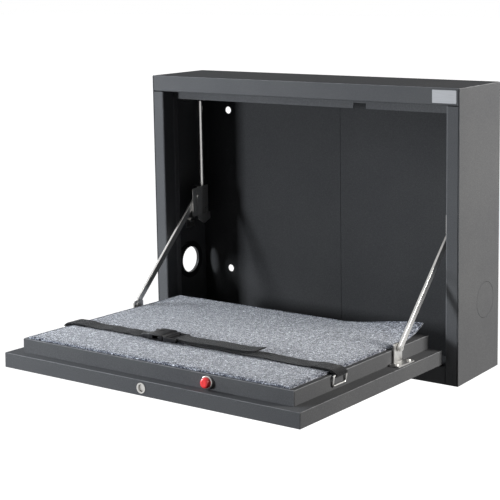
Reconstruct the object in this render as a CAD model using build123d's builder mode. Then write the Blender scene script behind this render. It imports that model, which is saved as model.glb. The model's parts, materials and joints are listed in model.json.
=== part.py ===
from build123d import *
import os
from math import atan2, cos, degrees, hypot, radians, sin, sqrt

os.makedirs("parts", exist_ok=True)

# Wall cabinet with a drop-down door that carries a felt-lined tray.
# The frame's origin is the centre of the wall-hole rectangle on the back's outer face:
# +X is right, +Y goes into the wall and +Z is up, so the front faces -Y.

# Shell
cabinet_width = 508.0
cabinet_height = 394.0
cabinet_depth = 119.0
sheet = 1.5
shell_corner_radius = 1.2
shell_edge_radius = 0.7

# Wall holes in the back
wall_hole_spacing_x = 406.4
wall_hole_spacing_z = 248.0
wall_hole_row_height = 86.0
wall_hole_diameter = 11.0
back_seam = 0.04
back_seam_chamfer = 0.5

# Front frame
header_height = 23.0
stile_width = 19.5
frame_return = 24.0
header_stop = 12.5
side_stop = 7.0
bend_radius = 2.2
frame_seam = 0.8
rail_stop_gap = 1.0

# Cable knockouts in the side walls
knockout_diameter = 50.0
knockout_below_bracket = 22.1
knockout_depth = 78.0
knockout_gap = 0.5
knockout_tab_width = 2.0
grommet_bore = 40.0
grommet_flange_diameter = 57.0
grommet_flange = 1.5
grommet_neck_clearance = 0.2
grommet_rim_radius = 0.9

# Blank plate on the header
plate_width = 35.0
plate_height = 17.0
plate_thickness = 0.4
plate_inset = 2.5
plate_corner_radius = 0.8

# Hinge
hinge_height = 27.5
knuckle_radius = 3.0
pin_radius = 1.3
pin_clearance = 0.06
leaf_thickness = 1.0
leaf_width = 15.0
knuckle_count = 19
knuckle_pitch = 24.0
knuckle_gap = 0.4
knuckle_reach = 3.4

# Door
door_tilt = 1.72
door_thickness = 19.5
door_sheet = 1.2
door_top_gap = 3.0
door_side_gap = 3.0
door_return = 30.0
door_corner_radius = 1.0
door_edge_radius = 0.8

# Tray on the door
tray_side_margin = 19.0
tray_rear = 6.0
tray_front_margin = 15.5
tray_height = 18.5
tray_edge_radius = 1.0
tray_corner_seam = 0.8
tray_seam_depth = 1.4
felt_thickness = 3.0
felt_side_margin = 5.5
felt_rear_margin = 2.0
felt_front_margin = 1.5
felt_gap = 1.5
felt_corner_radius = 2.0

# Door stays
rod_radius = 3.25
rod_in_block = 5.4
rod_depth = 80.0
rod_top_drop = 41.0
stay_arm_length = 200.0
stay_arm_width = 9.0
stay_arm_thickness = 3.6
stay_arm_edge_radius = 0.6
stay_pivot_reach = 93.0
stay_pivot_lift = 40.0
slider_pivot_depth = 54.0
stay_gap = 0.6
bracket_thickness = 2.0
bracket_tab_width = 20.0
bracket_tab_above = 6.5
bracket_foot_length = 40.0
bracket_foot_width = 15.0
bracket_side_gap = 1.5
bracket_corner_radius = 3.0
bracket_foot_radius = 2.0
bracket_screw_inset = 4.4
bracket_screw_side = 8.25
rivet_radius = 2.5
rivet_head_radius = 4.0
rivet_head = 1.0
rivet_stand = 0.3
rivet_dimple_radius = 1.5
rivet_dimple_depth = 1.2
eye_clearance = 0.06
screw_head_radius = 3.4
screw_head = 1.6
screw_head_dome = 0.8
screw_slot_depth = 0.8
screw_radius = 1.9
screw_length = 8.0
screw_slot = 0.9
screw_hole_clearance = 0.15
screw_thread_clearance = 0.05
nut_radius = 4.2
nut_thickness = 2.6
stud_stand = 0.6

# Slider that runs on each rod
slider_height = 42.5
slider_above_pivot = 14.0
block_front_depth = 67.0
block_rear_depth = 87.0
block_width = 13.0
block_corner_radius = 1.5
rod_clearance = 0.1
clevis_sheet = 1.8
clevis_front_depth = 40.0
clevis_web_depth = 62.0
clevis_slot_depth = 48.5
clevis_slot_width = 1.6
clevis_slot_margin = 4.0
clevis_corner_radius = 2.5

# Brackets that hold the rods
rod_bracket_thickness = 1.8
rod_bracket_depth = 20.0
rod_bracket_tail = 24.0
foot_bracket_drop = 14.0
foot_bracket_rear_drop = 7.7
foot_bracket_front_drop = 4.9
foot_bracket_nose = 30.0
foot_bracket_tip = 15.0
foot_bracket_corner_radius = 3.0
rod_bracket_overhang = 4.5
slider_seat_gap = 0.3
rod_cap_height = 4.0
rod_cap_radius = 4.6
rod_cap_dome = 1.6
rod_tail = 2.0

# Lock in the door's free edge
bolt_radius = 4.5
bolt_height = 9.75
bolt_recess = 2.0
bolt_travel = 10.0
bolt_length = 38.0
bolt_hole_clearance = 1.2
bolt_nose_radius = 0.8
guide_radius = 6.65
guide_length = 8.0
guide_stand = 0.6
guide_clearance = 0.08
lock_offset = 24.0
lock_setback = 22.5
cylinder_radius = 9.5
cylinder_depth = 10.5
cylinder_flange_radius = 12.0
cylinder_flange = 2.5
cylinder_rim_radius = 0.8
plug_radius = 6.0
plug_clearance = 0.06
plug_proud = 0.5
plug_shank_radius = 3.0
keyway_width = 1.4
keyway_height = 7.5
keyway_depth = 6.0
tail_thickness = 1.5
tail_gap = 0.8
tail_half_length = 8.0
finger_radius = 2.0
finger_play = 0.6
cam_thickness = 1.4
cam_gap = 0.6
cam_hub_wall = 3.0
cam_lobe_wall = 1.5
cam_seat_clearance = 0.02
lock_nut_thickness = 3.0
lock_nut_radius = 13.0

# Push button in the tray's front
button_offset = 90.0
button_height = 28.2
button_travel = 3.0
button_cap_radius = 6.4
button_clearance = 0.1
button_proud = 9.0
button_dome = 3.5
button_cap_depth = 5.0
bezel_radius = 8.0
bezel_height = 3.0
bezel_edge_radius = 0.8
barrel_radius = 7.3
barrel_depth = 19.0
barrel_bore_depth = 13.0
barrel_hole_clearance = 0.1
button_nut_radius = 9.0
button_nut_thickness = 3.0
spring_wire_radius = 0.4
spring_mean_radius = 4.2
spring_turns = 4
spring_seat_gap = 0.1
notch_clearance = 2.0
notch_height = 7.5

# Strap across the tray
strap_width = 25.0
strap_thickness = 1.5
strap_reach = 231.0
strap_lift = 0.4
ring_wire_radius = 1.2
ring_length = 31.0
ring_height = 15.5
ring_bottom_lift = 5.0
ring_corner_radius = 2.6
ring_gap = 0.2
ring_wrap_gap = 0.2
ring_lean = 8.0
buckle_centre = -50.0
buckle_width = 33.0
buckle_thickness = 9.0
socket_length = 34.0
tongue_length = 30.0
buckle_overlap = 9.0
buckle_gap = 0.3
buckle_wall = 2.2
buckle_side_wall = 3.0
buckle_mouth = 17.0
buckle_corner_radius = 3.0
buckle_edge_radius = 1.5
tongue_step = 1.5
tongue_corner_radius = 2.0
tongue_edge_radius = 1.0
prong_width = 5.5
prong_inset = 6.5
prong_root = 1.0
strap_grip = 4.0
strap_slot_margin = 0.6
prong_gap = 0.5
strap_tail_length = 120.0
strap_layer_gap = 0.5
strap_tail_gap = 1.0
strap_end_wrap = 3.4

# Derived places of the cabinet
front_y = -cabinet_depth
bottom_z = -(wall_hole_row_height + wall_hole_spacing_z / 2)
top_z = bottom_z + cabinet_height
half_width = cabinet_width / 2
inner_half_width = half_width - sheet
opening_half_width = half_width - stile_width
opening_top_z = top_z - header_height
stop_y = front_y + frame_return

# Derived places of the door
hinge_z = bottom_z + hinge_height
tilt = radians(door_tilt)
door_half_width = opening_half_width - door_side_gap
tray_half_width = door_half_width - tray_side_margin
door_reach = opening_top_z - hinge_z - door_top_gap
tray_front = door_reach - tray_front_margin
tray_top = door_thickness + tray_height
felt_top = tray_top + felt_thickness
door_plane = Plane(origin=(0, front_y, hinge_z), x_dir=(1, 0, 0), z_dir=(0, sin(tilt), cos(tilt)))
reach_direction = Vector(0, -cos(tilt), sin(tilt))
lift_direction = Vector(0, sin(tilt), cos(tilt))


def door_point(x, reach, lift):
    """A point given by its place along X, from the hinge outwards and above the outer face."""
    return door_plane.origin + Vector(x, 0, 0) + reach_direction * reach + lift_direction * lift


def door_layer(lift, x=0.0, reach=0.0):
    """A plane parallel to the door's faces; its own Y runs back towards the hinge."""
    return Plane(origin=door_point(x, reach, lift), x_dir=(1, 0, 0), z_dir=lift_direction)


def door_end(reach, x=0.0, lift=0.0):
    """A plane across the door that faces outwards; its own Y runs up."""
    return Plane(origin=door_point(x, reach, lift), x_dir=(1, 0, 0), z_dir=reach_direction)


def door_side(x, reach=0.0, lift=0.0):
    """A plane along the door that faces +X; its own X runs back to the hinge and its own Y up."""
    return Plane(origin=door_point(x, reach, lift), x_dir=-reach_direction, z_dir=(1, 0, 0))


def side_layer(side, x):
    """An upright plane across X on the left or right side."""
    return Plane.YZ.offset(side * x)


def finish(piece, name):
    """Labels a finished piece and writes it."""
    piece.part.label = name
    export_step(piece.part, f"parts/{name}.step")


# Stay geometry: the arm's lower pivot on the door and its upper pivot on the slider
pivot_point = door_point(0, stay_pivot_reach, stay_pivot_lift)
pivot_y = pivot_point.Y
pivot_z = pivot_point.Z
slider_y = front_y + slider_pivot_depth
slider_z = pivot_z + sqrt(stay_arm_length**2 - (slider_y - pivot_y) ** 2)
tab_inner = tray_half_width + bracket_side_gap
arm_inner = tab_inner + bracket_thickness + stay_gap
arm_outer = arm_inner + stay_arm_thickness
clevis_inner = tab_inner
clevis_outer = arm_outer + stay_gap + clevis_sheet
slider_bottom_z = slider_z + slider_above_pivot - slider_height
slider_top_z = slider_z + slider_above_pivot
foot_z = slider_bottom_z - slider_seat_gap
rod_y = front_y + rod_depth
rod_top_z = top_z - rod_top_drop
rod_offset = clevis_outer + rod_in_block
foot_reach = stay_pivot_reach
foot_outer = tab_inner + bracket_foot_width
screw_spread = bracket_foot_length / 2 - bracket_screw_inset
screw_x = tab_inner + bracket_screw_side
bracket_low_z = foot_z - rod_bracket_thickness - rod_bracket_tail
stud_heights = (rod_top_z + rod_bracket_tail / 2, bracket_low_z + rod_bracket_tail / 2)
knockout_z = bracket_low_z - grommet_flange_diameter / 2 - knockout_below_bracket


# Shell: top and bottom panels over the full width
for level, name in ((1, "top_panel"), (-1, "bottom_panel")):
    outer_z = top_z if level > 0 else bottom_z
    with BuildPart() as panel:
        with BuildSketch(Plane.XZ):
            with Locations((0, outer_z - level * sheet / 2)):
                Rectangle(cabinet_width, sheet)
        extrude(amount=cabinet_depth)
        long_edges = panel.edges().filter_by(Axis.Y).sort_by(Axis.Z)
        fillet(long_edges[-2:] if level > 0 else long_edges[:2], shell_corner_radius)
        front_edges = panel.edges().filter_by(Axis.X).group_by(Axis.Y)[0].sort_by(Axis.Z)
        fillet(front_edges[-1 if level > 0 else 0], shell_edge_radius)
    finish(panel, name)

# Shell: side panels with a round knockout and the studs for the rods' brackets
knockout_y = front_y + knockout_depth
for side, name in ((-1, "left_side_panel"), (1, "right_side_panel")):
    with BuildPart() as panel:
        with BuildSketch(side_layer(side, inner_half_width)):
            with Locations((front_y / 2, (top_z + bottom_z) / 2)):
                Rectangle(cabinet_depth, cabinet_height - 2 * sheet)
            with Locations((knockout_y, knockout_z)):
                Circle(knockout_diameter / 2, mode=Mode.SUBTRACT)
        extrude(amount=side * sheet)
        front_edges = panel.edges().filter_by(Axis.Z).group_by(Axis.Y)[0].sort_by(Axis.X)
        fillet(front_edges[-1 if side > 0 else 0], shell_edge_radius)
        with BuildSketch(side_layer(side, inner_half_width)):
            for stud_z in stud_heights:
                with Locations((rod_y, stud_z)):
                    Circle(screw_radius)
        extrude(amount=-side * (rod_bracket_thickness + nut_thickness + stud_stand))
    finish(panel, name)

# Back: two sheets that meet at the middle, each with two wall holes
back_half_width = inner_half_width - back_seam / 2
for side, name in ((-1, "left_back_panel"), (1, "right_back_panel")):
    with BuildPart() as back_panel:
        with BuildSketch(Plane.XZ):
            with Locations((side * (back_seam + back_half_width) / 2, (top_z + bottom_z) / 2)):
                Rectangle(back_half_width, cabinet_height - 2 * sheet)
            with Locations(
                (side * wall_hole_spacing_x / 2, wall_hole_spacing_z / 2),
                (side * wall_hole_spacing_x / 2, -wall_hole_spacing_z / 2),
            ):
                Circle(wall_hole_diameter / 2, mode=Mode.SUBTRACT)
        extrude(amount=sheet)
        seam_edge = back_panel.edges().filter_by(Axis.Z).sort_by(Axis.Y)[:2].sort_by(Axis.X)
        chamfer(seam_edge[0 if side > 0 else -1], back_seam_chamfer)
    finish(back_panel, name)

# Header: face, underside and hanging stop flange, with holes for the bolt and the button
frame_half_width = inner_half_width - frame_seam
bolt_hole_radius = bolt_radius + bolt_hole_clearance
notch_half_width = bezel_radius + notch_clearance
with BuildPart() as header:
    with BuildSketch(Plane.YZ.offset(-frame_half_width)):
        with BuildLine():
            FilletPolyline(
                (front_y, top_z - sheet),
                (front_y, opening_top_z),
                (stop_y, opening_top_z),
                (stop_y, opening_top_z - header_stop),
                radius=bend_radius,
            )
            offset(amount=sheet, side=Side.LEFT)
        make_face()
    extrude(amount=2 * frame_half_width)
    with BuildSketch(Plane.XY.offset(opening_top_z)):
        with Locations((0, front_y + bolt_height)):
            Circle(bolt_hole_radius)
    extrude(amount=sheet, mode=Mode.SUBTRACT)
    with BuildSketch(Plane.XZ.offset(-stop_y)):
        with Locations((button_offset, opening_top_z - header_stop + notch_height / 2)):
            Rectangle(2 * notch_half_width, notch_height)
    extrude(amount=-sheet, mode=Mode.SUBTRACT)
    for side in (-1, 1):
        with BuildSketch(Plane.XZ.offset(bend_radius - stop_y)):
            with Locations((side * (opening_half_width + stile_width / 2), opening_top_z - header_stop / 2)):
                Rectangle(stile_width, header_stop)
        extrude(amount=-(bend_radius + sheet), mode=Mode.SUBTRACT)
finish(header, "header")

# Stiles: face, return and narrow stop flange
stile_top_z = opening_top_z - frame_seam
for side, name in ((-1, "left_stile"), (1, "right_stile")):
    with BuildPart() as stile:
        with BuildSketch(Plane.XY.offset(bottom_z + sheet)):
            with BuildLine():
                FilletPolyline(
                    (side * frame_half_width, front_y),
                    (side * opening_half_width, front_y),
                    (side * opening_half_width, stop_y),
                    (side * (opening_half_width - side_stop), stop_y),
                    radius=bend_radius,
                )
                offset(amount=sheet, side=Side.LEFT if side < 0 else Side.RIGHT)
            make_face()
        extrude(amount=stile_top_z - bottom_z - sheet)
        with BuildSketch(Plane.XZ.offset(bend_radius - stop_y)):
            with Locations((side * (opening_half_width - side_stop / 2), opening_top_z - header_stop / 2)):
                Rectangle(side_stop + frame_seam, header_stop + frame_seam)
        extrude(amount=-(bend_radius + sheet), mode=Mode.SUBTRACT)
    finish(stile, name)

# Bottom rail: face and top flange that the hinge sits on
rail_height = hinge_height - knuckle_radius
rail_top_z = bottom_z + rail_height
rail_half_width = opening_half_width - frame_seam / 2
with BuildPart() as bottom_rail:
    with BuildSketch(Plane.YZ.offset(-rail_half_width)):
        with BuildLine():
            FilletPolyline(
                (front_y, bottom_z + sheet),
                (front_y, rail_top_z),
                (stop_y - rail_stop_gap, rail_top_z),
                radius=bend_radius,
            )
            offset(amount=sheet, side=Side.RIGHT)
        make_face()
    extrude(amount=2 * rail_half_width)
finish(bottom_rail, "bottom_rail")

# Blank plate at the header's right end
with BuildPart() as blank_plate:
    with BuildSketch(Plane.XZ.offset(cabinet_depth)):
        with Locations((frame_half_width - plate_inset - plate_width / 2, opening_top_z + header_height / 2)):
            RectangleRounded(plate_width, plate_height, plate_corner_radius)
    extrude(amount=plate_thickness)
finish(blank_plate, "blank_plate")

# Cable grommet in the left wall's open knockout
with BuildPart() as cable_grommet:
    with BuildSketch(Plane.YZ.offset(-half_width - grommet_flange)):
        with Locations((knockout_y, knockout_z)):
            Circle(grommet_flange_diameter / 2)
    extrude(amount=grommet_flange)
    with BuildSketch(Plane.YZ.offset(-half_width)):
        with Locations((knockout_y, knockout_z)):
            Circle(knockout_diameter / 2 - grommet_neck_clearance)
    extrude(amount=sheet)
    with BuildSketch(Plane.YZ.offset(-inner_half_width)):
        with Locations((knockout_y, knockout_z)):
            Circle(grommet_flange_diameter / 2)
    extrude(amount=grommet_flange)
    rim_edges = cable_grommet.edges().filter_by(GeomType.CIRCLE).group_by(SortBy.RADIUS)[-1]
    fillet(rim_edges.sort_by(Axis.X)[0], grommet_rim_radius)
    with BuildSketch(Plane.YZ.offset(-half_width - grommet_flange)):
        with Locations((knockout_y, knockout_z)):
            Circle(grommet_bore / 2)
    extrude(amount=2 * grommet_flange + sheet, mode=Mode.SUBTRACT)
finish(cable_grommet, "cable_grommet")

# Knockout still closed in the right wall, held by two small tabs
with BuildPart() as knockout_disc:
    with BuildSketch(Plane.YZ.offset(inner_half_width)):
        with Locations((knockout_y, knockout_z)):
            Rectangle(knockout_diameter, knockout_tab_width)
            Circle(knockout_diameter / 2, mode=Mode.INTERSECT)
            Circle(knockout_diameter / 2 - knockout_gap)
    extrude(amount=sheet)
finish(knockout_disc, "knockout_disc")


# Hinge: a long knuckled hinge, its axis level with the door's outer face
def hinge_leaf(plate_plane, first_knuckle, bore_plane):
    """One leaf: a plate tangent to its knuckles. The plate lies on the local XY plane."""
    length = knuckle_count * knuckle_pitch
    with BuildPart() as leaf:
        with BuildSketch(plate_plane):
            with Locations((0, (knuckle_reach + leaf_width) / 2)):
                Rectangle(length, leaf_width - knuckle_reach)
            for index in range(first_knuckle, knuckle_count, 2):
                middle = (index + 0.5) * knuckle_pitch - length / 2
                with Locations((middle, knuckle_reach / 2)):
                    Rectangle(knuckle_pitch - knuckle_gap, knuckle_reach)
        extrude(amount=leaf_thickness)
        for index in range(first_knuckle, knuckle_count, 2):
            start = index * knuckle_pitch - length / 2 + knuckle_gap / 2
            with BuildSketch(bore_plane.offset(start)):
                Circle(knuckle_radius)
            extrude(amount=knuckle_pitch - knuckle_gap)
        with BuildSketch(bore_plane.offset(-length / 2)):
            Circle(pin_radius + pin_clearance)
        extrude(amount=length, mode=Mode.SUBTRACT)
    return leaf


hinge_axis_plane = Plane(origin=(0, front_y, hinge_z), x_dir=(0, 1, 0), z_dir=(1, 0, 0))
rail_leaf_plane = Plane(origin=(0, front_y, hinge_z - knuckle_radius), x_dir=(1, 0, 0), z_dir=(0, 0, 1))
rail_leaf = hinge_leaf(rail_leaf_plane, 0, hinge_axis_plane)
finish(rail_leaf, "hinge_rail_leaf")
door_leaf = hinge_leaf(door_end(knuckle_radius - leaf_thickness), 1, hinge_axis_plane)
finish(door_leaf, "hinge_door_leaf")
with BuildPart() as hinge_pin:
    with BuildSketch(hinge_axis_plane.offset(-knuckle_count * knuckle_pitch / 2)):
        Circle(pin_radius)
    extrude(amount=knuckle_count * knuckle_pitch)
finish(hinge_pin, "hinge_pin")

# Door: a hollow pan with inward returns that make the ledge round the tray
door_start = knuckle_radius
door_length = door_reach - door_start
door_middle = (door_reach + door_start) / 2
lock_reach = door_reach - lock_setback
with BuildPart() as door_pan:
    with BuildSketch(door_layer(0, 0, door_middle)):
        Rectangle(2 * door_half_width, door_length)
    extrude(amount=door_thickness)
    upright_edges = door_pan.edges().filter_by(Axis(door_plane.origin, lift_direction))
    fillet(upright_edges, door_corner_radius)
    top_face = door_pan.faces().sort_by(Axis((0, 0, 0), lift_direction))[-1]
    bottom_face = door_pan.faces().sort_by(Axis((0, 0, 0), lift_direction))[0]
    fillet(top_face.edges() + bottom_face.edges(), door_edge_radius)
    with BuildSketch(door_layer(door_sheet, 0, door_middle)):
        Rectangle(2 * (door_half_width - door_sheet), door_length - 2 * door_sheet)
    extrude(amount=door_thickness - 2 * door_sheet, mode=Mode.SUBTRACT)
    with BuildSketch(door_layer(door_thickness - door_sheet, 0, door_middle)):
        Rectangle(2 * (door_half_width - door_return), door_length - 2 * door_return)
    extrude(amount=door_sheet, mode=Mode.SUBTRACT)
    with BuildSketch(door_end(door_reach - door_sheet, 0, bolt_height)):
        Circle(guide_radius + barrel_hole_clearance)
    extrude(amount=door_sheet, mode=Mode.SUBTRACT)
    with BuildSketch(door_layer(0, lock_offset, lock_reach)):
        Circle(cylinder_radius + plug_clearance)
    extrude(amount=door_sheet, mode=Mode.SUBTRACT)
    with BuildSketch(door_layer(door_thickness, 0, foot_reach)):
        with GridLocations(2 * screw_x, 2 * screw_spread, 2, 2):
            Circle(screw_radius + screw_thread_clearance)
    extrude(amount=-door_sheet, mode=Mode.SUBTRACT)
finish(door_pan, "door_pan")

# Tray: an inverted pan with open corner seams
tray_middle = (tray_front + tray_rear) / 2
tray_length = tray_front - tray_rear
with BuildPart() as tray:
    with BuildSketch(door_layer(door_thickness, 0, tray_middle)):
        Rectangle(2 * tray_half_width, tray_length)
    extrude(amount=tray_height)
    tray_top_face = tray.faces().sort_by(Axis((0, 0, 0), lift_direction))[-1]
    fillet(tray_top_face.edges(), tray_edge_radius)
    with BuildSketch(door_layer(door_thickness, 0, tray_middle)):
        Rectangle(2 * (tray_half_width - door_sheet), tray_length - 2 * door_sheet)
    extrude(amount=tray_height - door_sheet, mode=Mode.SUBTRACT)
    with BuildSketch(door_layer(door_thickness, 0, 0)):
        seam_inset = door_sheet + tray_corner_seam / 2
        for reach in (tray_front - seam_inset, tray_rear + seam_inset):
            with Locations(
                (-tray_half_width + tray_seam_depth / 2, -reach),
                (tray_half_width - tray_seam_depth / 2, -reach),
            ):
                Rectangle(tray_seam_depth, tray_corner_seam)
    extrude(amount=tray_height - door_sheet - tray_edge_radius, mode=Mode.SUBTRACT)
    with BuildSketch(door_end(tray_front - door_sheet, button_offset, button_height)):
        Circle(barrel_radius + barrel_hole_clearance)
    extrude(amount=door_sheet, mode=Mode.SUBTRACT)
finish(tray, "tray")

# Felt mats that line the tray
felt_half_width = tray_half_width - felt_side_margin
felt_split = strap_reach
for name, rear, front in (
    ("rear_felt", tray_rear + felt_rear_margin, felt_split - felt_gap / 2),
    ("front_felt", felt_split + felt_gap / 2, tray_front - felt_front_margin),
):
    with BuildPart() as felt:
        with BuildSketch(door_layer(tray_top, 0, (rear + front) / 2)):
            RectangleRounded(2 * felt_half_width, front - rear, felt_corner_radius)
        extrude(amount=felt_thickness)
    finish(felt, name)

def door_bracket(side):
    """An L: a foot screwed to the ledge and an upright tab that carries the arm's pivot."""
    with BuildPart() as bracket:
        with BuildSketch(door_layer(door_thickness, side * (tab_inner + foot_outer) / 2, foot_reach)):
            RectangleRounded(bracket_foot_width, bracket_foot_length, bracket_foot_radius)
        extrude(amount=bracket_thickness)
        tab_height = stay_pivot_lift + bracket_tab_above - door_thickness
        with BuildSketch(door_side(side * tab_inner, foot_reach, door_thickness)):
            with Locations((0, tab_height / 2)):
                Rectangle(bracket_tab_width, tab_height)
            tab_corners = vertices().sort_by(Axis(door_plane.origin, lift_direction))
            fillet(tab_corners[-2:], bracket_corner_radius)
        extrude(amount=side * bracket_thickness)
        with BuildSketch(door_side(side * tab_inner, foot_reach, stay_pivot_lift)):
            Circle(rivet_radius + eye_clearance)
        extrude(amount=side * bracket_thickness, mode=Mode.SUBTRACT)
        for spread in (-screw_spread, screw_spread):
            with BuildSketch(door_layer(door_thickness, side * screw_x, foot_reach + spread)):
                Circle(screw_radius + screw_hole_clearance)
            extrude(amount=bracket_thickness, mode=Mode.SUBTRACT)
    return bracket


def lower_rivet(side):
    """The arm's lower pivot, headed on both sides."""
    head_plane = door_side(side * (tab_inner - rivet_head), foot_reach, stay_pivot_lift)
    shank_plane = door_side(side * tab_inner, foot_reach, stay_pivot_lift)
    tail_plane = door_side(side * (arm_outer + rivet_stand), foot_reach, stay_pivot_lift)
    with BuildPart() as rivet:
        with BuildSketch(head_plane):
            Circle(rivet_head_radius)
        extrude(amount=side * rivet_head)
        with BuildSketch(shank_plane):
            Circle(rivet_radius)
        extrude(amount=side * (arm_outer + rivet_stand - tab_inner))
        with BuildSketch(tail_plane):
            Circle(rivet_head_radius)
        extrude(amount=side * rivet_head)
        with BuildSketch(tail_plane.offset(side * rivet_head)):
            Circle(rivet_dimple_radius)
        extrude(amount=-side * rivet_dimple_depth, mode=Mode.SUBTRACT)
    return rivet


def stay_arm(side):
    """A flat bar with an eye at each end, its length set between the eyes."""
    arm_plane = Plane(
        origin=(side * arm_inner, pivot_y, pivot_z),
        x_dir=(0, slider_y - pivot_y, slider_z - pivot_z),
        z_dir=(side, 0, 0),
    )
    with BuildPart() as arm:
        with BuildSketch(arm_plane):
            with Locations((stay_arm_length / 2, 0)):
                SlotCenterToCenter(stay_arm_length, stay_arm_width)
        extrude(amount=stay_arm_thickness)
        flat_faces = arm.faces().filter_by(Axis.X)
        fillet(flat_faces[0].edges() + flat_faces[-1].edges(), stay_arm_edge_radius)
        with BuildSketch(arm_plane):
            with Locations((0, 0), (stay_arm_length, 0)):
                Circle(rivet_radius + eye_clearance)
        extrude(amount=stay_arm_thickness, mode=Mode.SUBTRACT)
    return arm


def slider_block(side):
    """A moulded block that runs on the rod."""
    block_depth = block_rear_depth - block_front_depth
    with BuildPart() as block:
        with BuildSketch(Plane.XY.offset(slider_bottom_z)):
            block_middle = front_y + block_front_depth + block_depth / 2
            with Locations((side * (clevis_outer + block_width / 2), block_middle)):
                RectangleRounded(block_width, block_depth, block_corner_radius)
            with Locations((side * rod_offset, rod_y)):
                Circle(rod_radius + rod_clearance, mode=Mode.SUBTRACT)
        extrude(amount=slider_height)
    return block


def slider_clevis(side):
    """A folded clevis that is open to the front, so the arm swings between its cheeks."""
    front = front_y + clevis_front_depth
    web = front_y + clevis_web_depth
    tail = front_y + block_rear_depth - block_corner_radius
    with BuildPart() as clevis:
        with BuildSketch(Plane.XY.offset(slider_bottom_z)):
            with BuildLine():
                Polyline(
                    (side * clevis_inner, front),
                    (side * clevis_inner, web),
                    (side * (clevis_outer - clevis_sheet), web),
                    (side * (clevis_outer - clevis_sheet), tail),
                    (side * clevis_outer, tail),
                    (side * clevis_outer, web - clevis_sheet),
                    (side * (clevis_inner + clevis_sheet), web - clevis_sheet),
                    (side * (clevis_inner + clevis_sheet), front),
                    close=True,
                )
            make_face()
        extrude(amount=slider_height)
        slot_plane = side_layer(side, clevis_inner)
        with BuildSketch(slot_plane):
            with Locations((front_y + clevis_slot_depth, (slider_bottom_z + slider_top_z) / 2)):
                Rectangle(clevis_slot_width, slider_height - 2 * clevis_slot_margin)
        extrude(amount=side * clevis_sheet, mode=Mode.SUBTRACT)
        with BuildSketch(slot_plane):
            with Locations((slider_y, slider_z)):
                Circle(rivet_radius + eye_clearance)
        extrude(amount=side * clevis_sheet, mode=Mode.SUBTRACT)
        corners = clevis.edges().filter_by(Axis.X).group_by(Axis.Y)[0]
        fillet(corners, clevis_corner_radius)
    return clevis


def upper_rivet(side):
    """The upper pivot's head and short shank in the clevis cheek, clear of the arm."""
    with BuildPart() as rivet:
        with BuildSketch(side_layer(side, clevis_inner - rivet_head)):
            with Locations((slider_y, slider_z)):
                Circle(rivet_head_radius)
        extrude(amount=side * rivet_head)
        with BuildSketch(side_layer(side, clevis_inner)):
            with Locations((slider_y, slider_z)):
                Circle(rivet_radius)
        extrude(amount=side * (clevis_sheet + rivet_stand))
    return rivet


def stay_rod(side):
    """The guide rod with a round cap nut at its top."""
    with BuildPart() as rod:
        with BuildSketch(Plane.XY.offset(foot_z - rod_bracket_thickness - rod_tail)):
            with Locations((side * rod_offset, rod_y)):
                Circle(rod_radius)
        extrude(amount=rod_top_z - foot_z + rod_bracket_thickness + rod_tail)
        with BuildSketch(Plane.XY.offset(rod_top_z)):
            with Locations((side * rod_offset, rod_y)):
                Circle(rod_cap_radius)
        extrude(amount=rod_cap_height)
        fillet(edges(Select.LAST).group_by(Axis.Z)[-1], rod_cap_dome)
    return rod


def rod_bracket(side, seat_z, tail_up, nose):
    """An angle on the side wall whose shelf holds the rod; nose adds a hanging front tongue."""
    inner = rod_offset - rod_radius - rod_bracket_overhang
    shelf_front = rod_y - rod_bracket_depth / 2
    with BuildPart() as bracket:
        with BuildSketch(Plane.XY.offset(seat_z - rod_bracket_thickness)):
            with Locations((side * (inner + inner_half_width) / 2, rod_y)):
                Rectangle(inner_half_width - inner, rod_bracket_depth)
            with Locations((side * rod_offset, rod_y)):
                Circle(rod_radius + eye_clearance, mode=Mode.SUBTRACT)
        extrude(amount=rod_bracket_thickness)
        with BuildSketch(side_layer(side, inner_half_width - rod_bracket_thickness)):
            below = -rod_bracket_thickness - rod_bracket_tail / 2
            with Locations((rod_y, seat_z + (rod_bracket_tail / 2 if tail_up else below))):
                Rectangle(rod_bracket_depth, rod_bracket_tail)
                Circle(screw_radius + screw_hole_clearance, mode=Mode.SUBTRACT)
        extrude(amount=side * rod_bracket_thickness)
        if nose:
            low = seat_z - rod_bracket_thickness
            rear = shelf_front + rod_bracket_depth
            with BuildSketch(side_layer(side, inner)):
                with BuildLine():
                    Polyline(
                        (rear, seat_z),
                        (rear, low - foot_bracket_rear_drop),
                        (rear - foot_bracket_tip, low - foot_bracket_drop),
                        (rear - foot_bracket_nose, low - foot_bracket_front_drop),
                        (rear - foot_bracket_nose, seat_z),
                        close=True,
                    )
                make_face()
                fillet(vertices().group_by(Axis.Z)[0], foot_bracket_corner_radius)
            extrude(amount=side * rod_bracket_thickness)
    return bracket


for side, name in ((-1, "left"), (1, "right")):
    finish(stay_rod(side), f"{name}_stay_rod")
    finish(rod_bracket(side, rod_top_z, True, False), f"{name}_rod_top_bracket")
    finish(rod_bracket(side, foot_z, False, True), f"{name}_rod_foot_bracket")
    finish(slider_block(side), f"{name}_slider_block")
    finish(slider_clevis(side), f"{name}_slider_clevis")
    finish(upper_rivet(side), f"{name}_upper_rivet")
    finish(stay_arm(side), f"{name}_stay_arm")
    finish(lower_rivet(side), f"{name}_lower_rivet")
    finish(door_bracket(side), f"{name}_door_bracket")

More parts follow.
